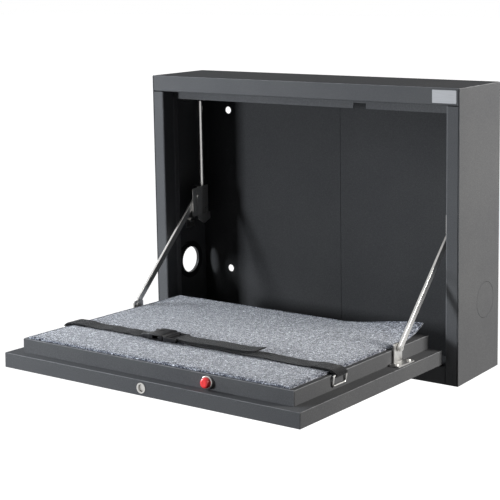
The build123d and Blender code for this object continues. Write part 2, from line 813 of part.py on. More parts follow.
# Screws that hold the door's brackets
with BuildPart() as door_bracket_screws:
    for side in (-1, 1):
        for spread in (-screw_spread, screw_spread):
            seat = door_layer(door_thickness + bracket_thickness, side * screw_x, foot_reach + spread)
            with BuildSketch(seat):
                Circle(screw_head_radius)
            extrude(amount=screw_head)
            fillet(edges(Select.LAST).group_by(Axis(seat.origin, seat.z_dir))[-1], screw_head_dome)
            with BuildSketch(seat):
                Circle(screw_radius)
            extrude(amount=-screw_length)
            with BuildSketch(seat.offset(screw_head)):
                Rectangle(screw_slot, 2 * screw_head_radius)
            extrude(amount=-screw_slot_depth, mode=Mode.SUBTRACT)
finish(door_bracket_screws, "door_bracket_screws")

# Nuts on the side walls' studs, which hold the rods' brackets
with BuildPart() as rod_bracket_nuts:
    for side in (-1, 1):
        with BuildSketch(side_layer(side, inner_half_width - rod_bracket_thickness)):
            for stud_z in stud_heights:
                with Locations((rod_y, stud_z)):
                    RegularPolygon(nut_radius, 6)
                    Circle(screw_radius + screw_thread_clearance, mode=Mode.SUBTRACT)
        extrude(amount=-side * nut_thickness)
finish(rod_bracket_nuts, "rod_bracket_nuts")

# Lock: bolt guide, bolt, cylinder, plug and cam
guide_rear = door_reach + guide_stand - guide_length
with BuildPart() as bolt_guide:
    with BuildSketch(door_end(guide_rear, 0, bolt_height)):
        Circle(guide_radius)
        Circle(bolt_radius + guide_clearance, mode=Mode.SUBTRACT)
    extrude(amount=guide_length)
finish(bolt_guide, "bolt_guide")

cam_swing = bolt_travel / sqrt(2)
bolt_end = door_reach - bolt_recess
tail_reach = lock_reach - bolt_travel / 2
tail_bottom = cylinder_depth + tail_gap
cam_bottom = tail_bottom + tail_thickness + cam_gap
tail_edge = lock_offset - plug_shank_radius - finger_play
with BuildPart() as lock_bolt:
    with BuildSketch(door_end(bolt_end - bolt_length, 0, bolt_height)):
        Circle(bolt_radius)
    extrude(amount=bolt_length)
    fillet(lock_bolt.edges().sort_by(Axis((0, 0, 0), reach_direction))[-1], bolt_nose_radius)
    with BuildSketch(door_layer(tail_bottom, tail_edge / 2, tail_reach)):
        Rectangle(tail_edge, 2 * tail_half_length)
        slot_start = lock_offset - cam_swing - finger_radius - finger_play
        with Locations((slot_start / 2, 0)):
            Rectangle(tail_edge - slot_start, 2 * (finger_radius + finger_play), mode=Mode.SUBTRACT)
    extrude(amount=tail_thickness)
finish(lock_bolt, "lock_bolt")

with BuildPart() as lock_cylinder:
    with BuildSketch(door_layer(-cylinder_flange, lock_offset, lock_reach)):
        Circle(cylinder_flange_radius)
    extrude(amount=cylinder_flange)
    fillet(lock_cylinder.edges().group_by(Axis((0, 0, 0), lift_direction))[0], cylinder_rim_radius)
    with BuildSketch(door_layer(0, lock_offset, lock_reach)):
        Circle(cylinder_radius)
    extrude(amount=cylinder_depth)
    with BuildSketch(door_layer(-cylinder_flange, lock_offset, lock_reach)):
        Circle(plug_radius + plug_clearance)
    extrude(amount=cylinder_flange + cylinder_depth, mode=Mode.SUBTRACT)
finish(lock_cylinder, "lock_cylinder")

with BuildPart() as lock_nut:
    with BuildSketch(door_layer(door_sheet, lock_offset, lock_reach)):
        RegularPolygon(lock_nut_radius, 6)
        Circle(cylinder_radius, mode=Mode.SUBTRACT)
    extrude(amount=lock_nut_thickness)
finish(lock_nut, "lock_nut")

plug_bottom = -cylinder_flange - plug_proud
with BuildPart() as lock_plug:
    with BuildSketch(door_layer(plug_bottom, lock_offset, lock_reach)):
        Circle(plug_radius)
    extrude(amount=cylinder_depth - plug_bottom)
    with BuildSketch(door_layer(cylinder_depth, lock_offset, lock_reach)):
        Circle(plug_shank_radius)
    extrude(amount=cam_bottom + cam_thickness - cylinder_depth)
    with BuildSketch(door_layer(plug_bottom, lock_offset, lock_reach)):
        Rectangle(keyway_width, keyway_height)
    extrude(amount=keyway_depth, mode=Mode.SUBTRACT)
finish(lock_plug, "lock_plug")

with BuildPart() as lock_cam:
    with BuildSketch(door_layer(cam_bottom, lock_offset, lock_reach)):
        Circle(plug_shank_radius + cam_hub_wall)
        with Locations((-bolt_travel / 2, bolt_travel / 2)):
            Circle(finger_radius + cam_lobe_wall)
        Circle(plug_shank_radius + cam_seat_clearance, mode=Mode.SUBTRACT)
    extrude(amount=cam_thickness)
    finger_reach = lock_reach - bolt_travel / 2
    with BuildSketch(door_layer(tail_bottom, lock_offset - bolt_travel / 2, finger_reach)):
        Circle(finger_radius)
    extrude(amount=cam_bottom - tail_bottom)
finish(lock_cam, "lock_cam")

# Push button: barrel, nut, spring and domed cap
with BuildPart() as button_barrel:
    with BuildSketch(door_end(tray_front - barrel_depth, button_offset, button_height)):
        Circle(barrel_radius)
    extrude(amount=barrel_depth)
    with BuildSketch(door_end(tray_front, button_offset, button_height)):
        Circle(bezel_radius)
    extrude(amount=bezel_height)
    fillet(button_barrel.edges().sort_by(Axis((0, 0, 0), reach_direction))[-1], bezel_edge_radius)
    with BuildSketch(door_end(tray_front + bezel_height, button_offset, button_height)):
        Circle(button_cap_radius + button_clearance)
    extrude(amount=-(bezel_height + barrel_bore_depth), mode=Mode.SUBTRACT)
finish(button_barrel, "button_barrel")

with BuildPart() as button_nut:
    nut_front = tray_front - door_sheet
    with BuildSketch(door_end(nut_front, button_offset, button_height)):
        RegularPolygon(button_nut_radius, 6)
        Circle(barrel_radius, mode=Mode.SUBTRACT)
    extrude(amount=-button_nut_thickness)
finish(button_nut, "button_nut")

cap_rear = tray_front - button_cap_depth
with BuildPart() as button_cap:
    with BuildSketch(door_end(cap_rear, button_offset, button_height)):
        Circle(button_cap_radius)
    extrude(amount=button_cap_depth + button_proud)
    fillet(button_cap.edges().sort_by(Axis((0, 0, 0), reach_direction))[-1], button_dome)
finish(button_cap, "button_cap")

spring_rear = tray_front - barrel_bore_depth
spring_end = spring_wire_radius + spring_seat_gap
spring_length = barrel_bore_depth - button_cap_depth - button_travel - 2 * spring_end
spring_pitch = spring_length / spring_turns
spring_plane = door_end(spring_rear + spring_end, button_offset, button_height)
with BuildPart() as button_spring:
    with BuildLine():
        coil = Helix(
            spring_pitch,
            spring_length,
            spring_mean_radius,
            center=spring_plane.origin,
            direction=spring_plane.z_dir,
        )
    with BuildSketch(Plane(origin=coil @ 0, z_dir=coil % 0)):
        Circle(spring_wire_radius)
    sweep(path=coil, is_frenet=True)
finish(button_spring, "button_spring")

# Strap rings: rectangular wire loops that stand against the tray's sides
ring_bottom = door_thickness + ring_bottom_lift
lean = radians(ring_lean)
for side, name in ((-1, "left_strap_ring"), (1, "right_strap_ring")):
    ring_origin = door_point(side * (tray_half_width + ring_wire_radius + ring_gap), strap_reach, ring_bottom)
    ring_up = lift_direction * cos(lean) + Vector(side * sin(lean), 0, 0)
    ring_plane = Plane(origin=ring_origin, x_dir=reach_direction, z_dir=reach_direction.cross(ring_up))
    half_length = ring_length / 2 - ring_wire_radius
    ring_top = ring_height - 2 * ring_wire_radius
    with BuildPart() as strap_ring:
        with BuildLine(ring_plane) as ring_path:
            FilletPolyline(
                (0, 0),
                (half_length, 0),
                (half_length, ring_top),
                (-half_length, ring_top),
                (-half_length, 0),
                close=True,
                radius=(0, *[ring_corner_radius] * 4),
            )
        with BuildSketch(Plane(origin=ring_path.wire() @ 0, z_dir=ring_path.wire() % 0)):
            Circle(ring_wire_radius)
        sweep(path=ring_path.wire())
    finish(strap_ring, name)

# Strap: two lengths of webbing, the right one doubled back through the buckle
strap_bottom = felt_top + strap_lift
strap_top = strap_bottom + strap_thickness
ring_top_x = tray_half_width + ring_wire_radius + ring_gap + (ring_height - 2 * ring_wire_radius) * sin(lean)
ring_top_lift = ring_bottom + (ring_height - 2 * ring_wire_radius) * cos(lean)
wrap_inner = ring_wire_radius + ring_wrap_gap
socket_start = buckle_centre - (socket_length + tongue_length - buckle_overlap) / 2
tongue_end = buckle_centre + (socket_length + tongue_length - buckle_overlap) / 2


def strap_solid(side, inner_end):
    """Webbing from the buckle to the ring, bent over the ring's top wire."""
    profile_plane = Plane(
        origin=door_point(0, strap_reach - strap_width / 2, 0),
        x_dir=(1, 0, 0),
        z_dir=reach_direction,
    )
    outer_x = side * (ring_top_x + wrap_inner)
    with BuildPart() as strap:
        with BuildSketch(profile_plane):
            with BuildLine():
                FilletPolyline(
                    (inner_end, strap_bottom),
                    (outer_x, strap_bottom),
                    (outer_x, ring_top_lift - strap_end_wrap),
                    radius=wrap_inner,
                )
                offset(amount=strap_thickness, side=Side.LEFT if side > 0 else Side.RIGHT)
            make_face()
        extrude(amount=strap_width)
    return strap


left_end = socket_start + strap_grip
right_end = tongue_end - strap_grip
finish(strap_solid(-1, left_end), "left_strap")
finish(strap_solid(1, right_end), "right_strap")

with BuildPart() as strap_tail:
    tail_middle = tongue_end + strap_tail_gap + strap_tail_length / 2
    with BuildSketch(door_layer(strap_top + strap_layer_gap, tail_middle, strap_reach)):
        Rectangle(strap_tail_length, strap_width)
    extrude(amount=strap_thickness)
finish(strap_tail, "strap_tail")

# Side-release buckle: the socket swallows the tongue's prongs
socket_end = socket_start + socket_length
tongue_start = tongue_end - tongue_length
buckle_bottom = felt_top + buckle_gap
mouth_height = buckle_thickness - 2 * buckle_wall
with BuildPart() as buckle_socket:
    with BuildSketch(door_layer(buckle_bottom, (socket_start + socket_end) / 2, strap_reach)):
        RectangleRounded(socket_length, buckle_width, buckle_corner_radius)
    extrude(amount=buckle_thickness)
    lift_axis = Axis((0, 0, 0), lift_direction)
    fillet(buckle_socket.faces().sort_by(lift_axis)[-1].edges(), buckle_edge_radius)
    with BuildSketch(door_layer(buckle_bottom + buckle_wall, socket_end - buckle_mouth / 2, strap_reach)):
        Rectangle(buckle_mouth, buckle_width - 2 * buckle_side_wall)
    extrude(amount=mouth_height, mode=Mode.SUBTRACT)
    strap_window = left_end - socket_start + strap_slot_margin
    with BuildSketch(door_layer(buckle_bottom, socket_start + strap_window / 2, strap_reach)):
        Rectangle(strap_window, strap_width + 2 * strap_slot_margin)
    extrude(amount=strap_top - buckle_bottom + strap_slot_margin, mode=Mode.SUBTRACT)
finish(buckle_socket, "buckle_socket")

with BuildPart() as buckle_tongue:
    body_start = socket_end + prong_gap
    with BuildSketch(door_layer(buckle_bottom, (body_start + tongue_end) / 2, strap_reach)):
        RectangleRounded(tongue_end - body_start, buckle_width, tongue_corner_radius)
    extrude(amount=buckle_thickness - tongue_step)
    fillet(buckle_tongue.faces().sort_by(lift_axis)[-1].edges(), tongue_edge_radius)
    prong_length = body_start + prong_root - tongue_start
    prong_bottom = buckle_bottom + buckle_wall + prong_gap
    with BuildSketch(door_layer(prong_bottom, tongue_start + prong_length / 2, strap_reach)):
        with GridLocations(0, buckle_width - 2 * prong_inset, 1, 2):
            Rectangle(prong_length, prong_width)
    extrude(amount=mouth_height - 2 * prong_gap)
    strap_window = tongue_end - right_end + strap_slot_margin
    with BuildSketch(door_layer(buckle_bottom, tongue_end - strap_window / 2, strap_reach)):
        Rectangle(strap_window, strap_width + 2 * strap_slot_margin)
    extrude(amount=strap_top - buckle_bottom + strap_slot_margin, mode=Mode.SUBTRACT)
finish(buckle_tongue, "buckle_tongue")
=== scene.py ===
import json
from math import cos, pi, radians, sin

import bmesh
import bpy
from mathutils import Matrix, Vector, noise


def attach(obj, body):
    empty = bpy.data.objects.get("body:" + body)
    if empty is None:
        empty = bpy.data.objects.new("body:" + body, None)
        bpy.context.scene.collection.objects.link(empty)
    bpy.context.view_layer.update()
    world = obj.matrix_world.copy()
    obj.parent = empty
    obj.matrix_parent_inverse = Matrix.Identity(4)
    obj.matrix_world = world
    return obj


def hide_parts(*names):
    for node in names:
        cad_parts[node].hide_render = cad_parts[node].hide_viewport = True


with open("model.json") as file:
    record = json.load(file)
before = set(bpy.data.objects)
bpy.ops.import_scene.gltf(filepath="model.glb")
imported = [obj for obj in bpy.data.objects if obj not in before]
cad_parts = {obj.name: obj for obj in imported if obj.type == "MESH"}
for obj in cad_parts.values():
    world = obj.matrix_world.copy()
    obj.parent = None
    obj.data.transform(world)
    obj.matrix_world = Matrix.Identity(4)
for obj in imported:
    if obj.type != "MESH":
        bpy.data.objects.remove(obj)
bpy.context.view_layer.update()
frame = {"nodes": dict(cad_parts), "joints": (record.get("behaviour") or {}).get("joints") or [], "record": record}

# Lengths are in metres. The frame's origin is the middle of the wall holes.

# Camera: the photograph's view
camera_place = Vector((1.047587, -1.672566, 0.33587))
camera_yaw = 0.5974
camera_pitch = 0.1458
camera_roll = -0.0123
camera_lens = 98.035
camera_shift = (-0.08, -0.16)

# Floor and world
floor_height = -0.95
floor_size = 60.0
floor_color = (0.2, 0.2, 0.2)
ambient = 0.04

# Paint
paint_color = (0.106, 0.1065, 0.11)
# The back panels' paint is darkened to paint shade on them
back_painted_shade = 0.5
# Folds and edges are made paler: partly rubbed paint, partly a painted highlight
fold_wear_and_highlight_shade = 2.4

# Felt mats. The cut edge's wander has steady, slow and quick parts, and it ends at one part in
# so many of the mat. The edge's shape goes by (share of the thickness, share of the rounding).
felt_grid = 0.0025
felt_wave = 0.0004
felt_wave_scale = 14
felt_sink = 0.4
felt_nap = 0.00022
felt_nap_scale = 420
felt_edge_wander = 0.0007
felt_wander_parts = (0.9, 0.6, 0.15)
felt_slow_wander_scale = 28
felt_quick_wander_scale = 260
felt_side_fade = 12
felt_end_fade = 8
felt_edge_round = 0.0026
felt_edge_shape = ((0.0, 0.15), (0.3, 0.0), (0.6, 0.12), (0.86, 0.45), (1.0, 1.0))
felt_pressed_depth = 0.0011
felt_pressed_width = 0.011
curl_height = 0.0145
curl_length = 0.068
curl_width = 0.13

# Webbing
webbing_step = 0.002
webbing_half_thickness = 0.00075
webbing_selvedge = 0.0007
selvedge_facets = 5
weave_rib_pitch = 0.0011
weave_rib_slant = 0.5
weave_pick_pitch = 0.0016
weave_pick_height = 0.6
layer_gap = 0.0001
path_resolution = 24

# Strap: how it leaves the buckle, ripples over the felt as (share of the run, share of the
# slack), climbs onto its turned-back end, rounds the ring's wire and comes back underneath
strap_slot_drop = 0.001
buckle_lead = 0.006
buckle_dip = 0.0004
strap_slack = 0.0012
strap_ripples = ((0.16, 0.3), (0.34, 1.0), (0.52, 0.35), (0.7, 0.9), (0.86, 0.2))
ripple_margin = 0.012
stitched_length = 0.028
climb_start = 0.006
climb_end = 0.004
climb_rise = 0.0004
edge_run = 0.006
edge_overhang = 0.0035
edge_dip = 0.0008
wire_radius = 0.0012
wire_clearance = 0.0002
wire_turns = (75, 30, -20, -70, -115, -150)
wall_dip = 0.0008
wall_rise = 0.0014
wall_lean = 0.0006
return_overhang = 0.0015
return_dip = 0.0002
return_run = 0.004
return_end = 0.002

# The strap's loose end
tail_stand = 0.0012
tail_curl = 0.003
tail_curl_length = 0.03
tail_drift = 0.0025

# Stitches: each is a short thread, thinner where it dips into the webbing. Its shape goes by
# (share of the length, share of the radius).
thread_radius = 0.00032
thread_sides = 6
thread_shape = ((0, 0.25), (0.18, 0.9), (0.5, 1.0), (0.82, 0.9), (1, 0.25))
thread_dip = 0.9
stitch_pitch = 0.003
stitch_gap = 0.12
stitch_inset = 0.007
stitch_margin = 0.003

# Buckle, both halves; each "round" is the radius of an edge
buckle_gap = 0.0005
buckle_overlap = 0.002
buckle_sharp_angle = radians(38)
bar_inset = 0.001
bar_round = 0.0012

# Buckle socket
shell_start = 0.0105
shell_wall = 0.0022
shell_round = 0.0022
arm_inner = 0.0045
arm_round = 0.0008
grip_rib_count = 3
grip_rib_start = 0.004
grip_rib_spacing = 0.0026
grip_rib_width = 0.0012
grip_rib_inset = 0.0095
grip_rib_sunk = 0.0008
grip_rib_proud = 0.0003
grip_rib_round = 0.0003
window_depth = 0.005
window_round = 0.0009
mouth_wall = 0.003
mouth_round = 0.0006

# Buckle tongue
body_length = 0.0062
body_inset = 0.0004
body_round = 0.0016
rail_inner = 0.0042
rail_round = 0.001
prong_outer = 0.0006
prong_inner = 0.0052
prong_round = 0.0011
grip_bar_round = 0.0011
stem_half_width = 0.0011
stem_round = 0.0005
guide_half_width = 0.0018
guide_round = 0.0006


# The door's own axes: x to the right, y back towards the hinge and z above the outer face
joints = {joint["name"]: joint for joint in frame["joints"]}
hinge_joint = joints["door_hinge"]
tilt = radians(90 - hinge_joint["range_deg"][1])
reach_direction = Vector((0, -cos(tilt), sin(tilt)))
lift_direction = Vector((0, sin(tilt), cos(tilt)))
hinge_point = Vector(hinge_joint["pos_m"])
door_axes = Matrix.Translation(hinge_point) @ Matrix(
    ((1, 0, 0), -reach_direction, lift_direction)
).transposed().to_4x4()
to_door = door_axes.inverted()
to_front = Vector((0, -1, 0))


def door_span(node):
    """The lowest and highest x, reach and lift of a node on the door."""
    points = [to_door @ vertex.co for vertex in frame["nodes"][node].data.vertices]
    lows = [min(point[axis] for point in points) for axis in range(3)]
    highs = [max(point[axis] for point in points) for axis in range(3)]
    return (lows[0], -highs[1], lows[2]), (highs[0], -lows[1], highs[2])


# Shader nodes. These are the places of a colour mix's two inputs and of its result.
mix_first, mix_second, mix_result = 6, 7, 2


def node_of(tree, kind, **values):
    """A shader node with its settings and inputs filled in; an input may be another's socket."""
    made = tree.nodes.new(kind)
    for name, value in values.items():
        if hasattr(made, name):
            setattr(made, name, value)
            continue
        socket = made.inputs[name.replace("_", " ").title()]
        if isinstance(value, bpy.types.NodeSocket):
            tree.links.new(value, socket)
        else:
            socket.default_value = value
    return made


def new_material(name, color, roughness, metallic=0.0):
    """A principled material with its plain values set on the shader itself."""
    made = bpy.data.materials.new(name)
    made.use_nodes = True
    shader = made.node_tree.nodes["Principled BSDF"]
    shader.inputs["Base Color"].default_value = (*color, 1)
    shader.inputs["Roughness"].default_value = roughness
    shader.inputs["Metallic"].default_value = metallic
    return made, made.node_tree, shader


def place(tree, stretch=(1, 1, 1)):
    """Object coordinates, stretched along the axes."""
    coordinates = node_of(tree, "ShaderNodeTexCoord")
    mapping = node_of(
        tree, "ShaderNodeMapping", Vector=coordinates.outputs["Object"], Scale=stretch
    )
    return mapping.outputs["Vector"]


def grain(tree, where, scale, detail=2.0, roughness=0.5):
    """Noise from 0 to 1."""
    made = node_of(
        tree, "ShaderNodeTexNoise", Vector=where, Scale=scale, Detail=detail, Roughness=roughness
    )
    return made.outputs["Fac"]


def ramp(tree, amount, *stops):
    """A colour ramp through (position, colour) stops."""
    made = node_of(tree, "ShaderNodeValToRGB")
    tree.links.new(amount, made.inputs["Fac"])
    elements = made.color_ramp.elements
    while len(elements) < len(stops):
        elements.new(0.5)
    for element, (position, color) in zip(elements, stops):
        element.position = position
        element.color = (*color, 1)
    return made.outputs["Color"]


def level(tree, amount, low, high, new_low, new_high):
    """A value carried from one range to another."""
    made = node_of(tree, "ShaderNodeMapRange")
    tree.links.new(amount, made.inputs["Value"])
    made.inputs["From Min"].default_value = low
    made.inputs["From Max"].default_value = high
    made.inputs["To Min"].default_value = new_low
    made.inputs["To Max"].default_value = new_high
    return made.outputs["Result"]


def math_node(tree, operation, first, second=0.0):
    """One arithmetic step on two values."""
    made = tree.nodes.new("ShaderNodeMath")
    made.operation = operation
    for socket, value in zip(made.inputs, (first, second)):
        if isinstance(value, bpy.types.NodeSocket):
            tree.links.new(value, socket)
        else:
            socket.default_value = value
    return made.outputs["Value"]


def toned(tree, color, tone):
    """A colour multiplied by another."""
    mixed = node_of(tree, "ShaderNodeMix", data_type="RGBA", blend_type="MULTIPLY")
    mixed.inputs["Factor"].default_value = 1.0
    tree.links.new(color, mixed.inputs[mix_first])
    tree.links.new(tone, mixed.inputs[mix_second])
    return mixed.outputs[mix_result]


def bumps(tree, shader, *layers):
    """Bump layers of (height, distance, strength) stacked onto the shader's normal."""
    normal = None
    for height, distance, strength in layers:
        made = tree.nodes.new("ShaderNodeBump")
        made.inputs["Distance"].default_value = distance
        made.inputs["Strength"].default_value = strength
        tree.links.new(height, made.inputs["Height"])
        if normal:
            tree.links.new(normal, made.inputs["Normal"])
        normal = made.outputs["Normal"]
    tree.links.new(normal, shader.inputs["Normal"])


def seen_directly(tree):
    """1 for rays from the camera and those that metal, gloss and glass send on, otherwise 0."""
    rays = tree.nodes.new("ShaderNodeLightPath")
    seen = math_node(tree, "MAXIMUM", rays.outputs["Is Camera Ray"], rays.outputs["Is Glossy Ray"])
    return math_node(tree, "MAXIMUM", seen, rays.outputs["Is Transmission Ray"])


def scaled(color, factor):
    """A colour made lighter or darker."""
    return tuple(channel * factor for channel in color)


def fold_wear_and_highlight_mask(tree):
    """0 on flats and 1 on rounded folds and edges, where the surface faces none of the object's
    axes; it fades to a tenth on those that don't face upwards. It marks rubbed paint and a
    painted highlight, which light from above would put on the folds that face upwards."""
    coordinates = node_of(tree, "ShaderNodeTexCoord")
    split = node_of(tree, "ShaderNodeSeparateXYZ", Vector=coordinates.outputs["Normal"])
    sides = [math_node(tree, "ABSOLUTE", split.outputs[axis]) for axis in "XYZ"]
    most = math_node(tree, "MAXIMUM", math_node(tree, "MAXIMUM", sides[0], sides[1]), sides[2])
    upward = level(tree, split.outputs["Z"], 0.0, 0.3, 0.1, 1.0)
    return math_node(tree, "MULTIPLY", level(tree, most, 0.985, 0.9, 0.0, 1.0), upward)


# Materials
def powder_coat(name, shade):
    """Charcoal powder coat, matt and finely grained, with folds and edges paler: partly rubbed
    paint, partly a painted highlight on the folds that face upwards. At a shade of 1 it has its
    full brightness; a lower shade gives a darker copy for painted shade."""
    color = scaled(paint_color, shade)
    made, tree, shader = new_material(name, color, 0.5)
    shader.inputs["Specular IOR Level"].default_value = 0.0
    shader.inputs["Coat Weight"].default_value = 0.08
    shader.inputs["Coat Roughness"].default_value = 0.42
    where = place(tree)
    fine = grain(tree, where, 1100, 3.0, 0.6)
    patches = grain(tree, where, 9, 3.0, 0.55)
    speck = ramp(
        tree,
        fine,
        (0.3, scaled(color, 0.8)),
        (0.55, color),
        (0.74, scaled(color, 1.28)),
    )
    tone = ramp(tree, patches, (0.3, (0.93, 0.93, 0.94)), (0.7, (1.06, 1.06, 1.05)))
    # Folds and edges go paler, unevenly: rubbed paint and a painted highlight
    wear_and_highlight_noise = level(tree, grain(tree, where, 70, 3.0), 0.3, 0.6, 0.35, 0.9)
    worn_and_highlit_folds = node_of(tree, "ShaderNodeMix", data_type="RGBA")
    tree.links.new(math_node(tree, "MULTIPLY", fold_wear_and_highlight_mask(tree), wear_and_highlight_noise), worn_and_highlit_folds.inputs["Factor"])
    tree.links.new(toned(tree, speck, tone), worn_and_highlit_folds.inputs[mix_first])
    worn_and_highlit_folds.inputs[mix_second].default_value = (*scaled(color, fold_wear_and_highlight_shade), 1)
    tree.links.new(worn_and_highlit_folds.outputs[mix_result], shader.inputs["Base Color"])
    tree.links.new(level(tree, patches, 0.3, 0.7, 0.46, 0.56), shader.inputs["Roughness"])
    bumps(tree, shader, (grain(tree, where, 420, 2.0), 0.0004, 0.25), (fine, 0.0002, 0.35))
    return made


def nickel_plate():
    """Bright nickel with faint fine lines and a few darker stains."""
    color = (0.6, 0.592, 0.575)
    made, tree, shader = new_material("nickel_plate", color, 0.3, 1.0)
    stains = grain(tree, place(tree), 60, 4.0, 0.6)
    lines = grain(tree, place(tree, (700, 700, 700)), 1.0, 3.0)
    tree.links.new(
        ramp(tree, stains, (0.3, scaled(color, 0.92)), (0.6, color)), shader.inputs["Base Color"]
    )
    tree.links.new(level(tree, lines, 0.3, 0.7, 0.27, 0.37), shader.inputs["Roughness"])
    bumps(tree, shader, (lines, 0.00001, 0.12))
    return made


def satin_plate():
    """Blank grey plate with a fine brushed grain along its length."""
    color = (0.45, 0.455, 0.47)
    made, tree, shader = new_material("satin_plate", color, 0.45, 0.3)
    lines = grain(tree, place(tree, (60, 1500, 2600)), 1.0, 3.0)
    tree.links.new(
        ramp(tree, lines, (0.3, scaled(color, 0.9)), (0.7, scaled(color, 1.08))),
        shader.inputs["Base Color"],
    )
    tree.links.new(level(tree, lines, 0.3, 0.7, 0.36, 0.48), shader.inputs["Roughness"])
    bumps(tree, shader, (lines, 0.00004, 0.3))
    return made


def moulded_black():
    """Black moulded plastic with a fine spark-eroded grain."""
    color = (0.009, 0.009, 0.01)
    made, tree, shader = new_material("moulded_black", color, 0.42)
    shader.inputs["Specular IOR Level"].default_value = 0.3
    where = place(tree)
    skin = grain(tree, where, 2400, 2.0)
    tree.links.new(
        ramp(tree, grain(tree, where, 60), (0.3, scaled(color, 0.85)), (0.7, scaled(color, 1.25))),
        shader.inputs["Base Color"],
    )
    tree.links.new(level(tree, skin, 0.3, 0.7, 0.36, 0.5), shader.inputs["Roughness"])
    bumps(tree, shader, (skin, 0.00012, 0.3))
    return made


def gloss_red():
    """Clear-coated red plastic with a faint mottling below the gloss."""
    color = (0.92, 0.03, 0.036)
    made, tree, shader = new_material("gloss_red", color, 0.35)
    shader.inputs["Coat Weight"].default_value = 0.3
    shader.inputs["Coat Roughness"].default_value = 0.12
    clouds = grain(tree, place(tree), 320, 2.0)
    tree.links.new(
        ramp(tree, clouds, (0.3, scaled(color, 0.85)), (0.7, scaled(color, 1.1))),
        shader.inputs["Base Color"],
    )
    bumps(tree, shader, (clouds, 0.0001, 0.08))
    return made


def needle_felt():
    """Blue-grey needle felt: pale and dark fibres matted at random, with a soft sheen."""
    made, tree, shader = new_material("needle_felt", (0.2, 0.21, 0.25), 0.95)
    shader.inputs["Sheen Weight"].default_value = 0.25
    shader.inputs["Sheen Roughness"].default_value = 0.5
    shader.inputs["Specular IOR Level"].default_value = 0.15
    where = place(tree)
    drift = node_of(tree, "ShaderNodeTexNoise", Vector=where, Scale=130, Detail=2.0)
    bent = tree.nodes.new("ShaderNodeVectorMath")
    bent.operation = "MULTIPLY_ADD"
    tree.links.new(drift.outputs["Color"], bent.inputs[0])
    bent.inputs[1].default_value = (0.01, 0.01, 0.01)
    tree.links.new(where, bent.inputs[2])
    fibres = grain(tree, bent.outputs["Vector"], 620, 3.0, 0.65)
    tufts = grain(tree, where, 190, 3.0, 0.65)
    colors = ramp(
        tree,
        fibres,
        (0.41, (0.018, 0.02, 0.03)),
        (0.48, (0.09, 0.097, 0.127)),
        (0.54, (0.22, 0.232, 0.275)),
        (0.62, (0.78, 0.8, 0.85)),
    )
    tone = ramp(tree, tufts, (0.38, (0.45, 0.46, 0.5)), (0.62, (1.3, 1.3, 1.29)))
    tree.links.new(toned(tree, colors, tone), shader.inputs["Base Color"])
    bumps(tree, shader, (tufts, 0.0008, 0.5), (fibres, 0.0006, 0.6))
    return made


def woven_webbing():
    """Black polyester webbing: slanted ribs and fine picks, laid out in the band's own length
    and width, darker in the weave's hollows and paler on its ribs as painted shade and highlight."""
    color = (0.009, 0.009, 0.01)
    made, tree, shader = new_material("woven_webbing", color, 0.75)
    shader.inputs["Specular IOR Level"].default_value = 0.15
    shader.inputs["Sheen Weight"].default_value = 0.12
    shader.inputs["Sheen Roughness"].default_value = 0.4
    band = node_of(tree, "ShaderNodeUVMap", uv_map="band")
    split = node_of(tree, "ShaderNodeSeparateXYZ", Vector=band.outputs["UV"])
    along = math_node(tree, "MULTIPLY", split.outputs["X"], 2 * pi / weave_rib_pitch)
    across = math_node(tree, "MULTIPLY", split.outputs["Y"], 2 * pi / weave_pick_pitch)
    slanted = math_node(tree, "ADD", along, math_node(tree, "MULTIPLY", across, weave_rib_slant))
    picks = math_node(tree, "MULTIPLY", math_node(tree, "SINE", across), weave_pick_height)
    weave = math_node(tree, "ADD", math_node(tree, "SINE", slanted), picks)
    highest = 1 + weave_pick_height
    fuzz = grain(tree, place(tree), 1800, 3.0)
    # Colour follows the weave's height: painted shade in its hollows and a painted highlight on its ribs
    tree.links.new(
        ramp(
            tree,
            level(tree, weave, -highest, highest, 0, 1),
            (0.15, scaled(color, 0.5)),
            (0.6, color),
            (0.95, scaled(color, 2.2)),
        ),
        shader.inputs["Base Color"],
    )
    bumps(tree, shader, (weave, 0.00025, 0.7), (fuzz, 0.0001, 0.3))
    return made


materials = {
    "paint": powder_coat("powder_coat", 1.0),
    "nickel": nickel_plate(),
    "plate": satin_plate(),
    "black_plastic": moulded_black(),
    "red_plastic": gloss_red(),
    "felt": needle_felt(),
    "webbing": woven_webbing(),
}

for subpart in frame["record"]["subparts"]:
    cad_mesh = frame["nodes"][subpart["node"]].data
    cad_mesh.materials.clear()
    cad_mesh.materials.append(materials[subpart["material_slot"]])

# A darker copy of the paint on the back panels: painted shade, so that the back shows darker than the front
shaded_back_paint = powder_coat("back_powder_coat_painted_shade", back_painted_shade)
for node in ("left_back_panel", "right_back_panel"):
    frame["nodes"][node].data.materials[0] = shaded_back_paint


def dress(name, mesh, slot_name, replaced=()):
    """Puts a mesh of door coordinates on the door, smooth and with its material; it stands for
    the CAD nodes that it replaces."""
    mesh.transform(door_axes)
    mesh.validate()
    mesh.polygons.foreach_set("use_smooth", [True] * len(mesh.polygons))
    mesh.materials.append(materials[slot_name])
    piece = bpy.data.objects.new(name, mesh)
    bpy.context.scene.collection.objects.link(piece)
    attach(piece, "door")
    if replaced:
        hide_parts(*replaced)
    return piece


# Felt mats
def smooth_step(value):
    """0 below 0, 1 above 1, and an even S between."""
    value = min(max(value, 0.0), 1.0)
    return value * value * (3 - 2 * value)


def fade(share, rate):
    """1 at an edge, falling to 0 at one part in `rate` of the way across."""
    return max(0, 1 - share * rate)


